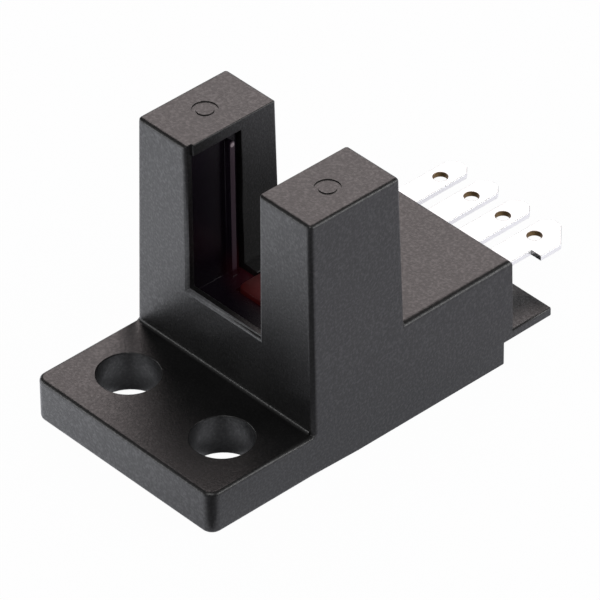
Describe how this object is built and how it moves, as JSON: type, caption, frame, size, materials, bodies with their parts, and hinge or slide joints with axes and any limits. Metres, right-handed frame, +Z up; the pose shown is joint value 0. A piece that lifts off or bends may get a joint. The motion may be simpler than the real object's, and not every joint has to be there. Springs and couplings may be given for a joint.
{
  "type": "fork sensor",
  "caption": "Photoelectric fork sensor: black moulded case with a drilled mounting flange, an upright fork with a sensing slot, and a row of flat solder terminals at the rear.",
  "frame": {"origin": "midway between the two mounting holes, on the underside of the flange", "axes": "+X along the line of the mounting holes, +Y from the flange to the terminals, +Z up along the mounting screws"},
  "size_m": [0.0134, 0.0273, 0.0155],
  "materials": {
    "case": "fine spark-eroded grain, black",
    "cover": "fine moulded grain, black",
    "filter": "glossy, very dark red",
    "indicator_lens": "translucent red",
    "board": "solder mask, green",
    "emitter_resin": "clear resin with a blue cast",
    "receiver_resin": "black resin",
    "indicator_resin": "pale milky resin",
    "terminals": "bright tin plate on brass",
    "leads": "tinned",
    "component_moulding": "black moulding compound",
    "resistor_chip": "glazed ceramic",
    "capacitor_chip": "tan ceramic",
    "solder": "reflowed solder"
  },
  "bodies": {
    "root": {"housing": "case", "base_cover": "cover", "slot_filter": "filter", "indicator_lens": "indicator_lens", "circuit_board": "board", "emitter": "emitter_resin", "emitter_leads": "leads", "receiver": "receiver_resin", "receiver_leads": "leads", "indicator": "indicator_resin", "supply_terminal": "terminals", "mode_terminal": "terminals", "output_terminal": "terminals", "ground_terminal": "terminals", "output_transistor": "component_moulding", "transistor_leads": "leads", "protection_diode": "component_moulding", "diode_leads": "leads", "emitter_resistor": "resistor_chip", "indicator_resistor": "resistor_chip", "base_resistor": "resistor_chip", "supply_capacitor": "capacitor_chip", "solder_joints": "solder"}
  },
  "joints": []
}
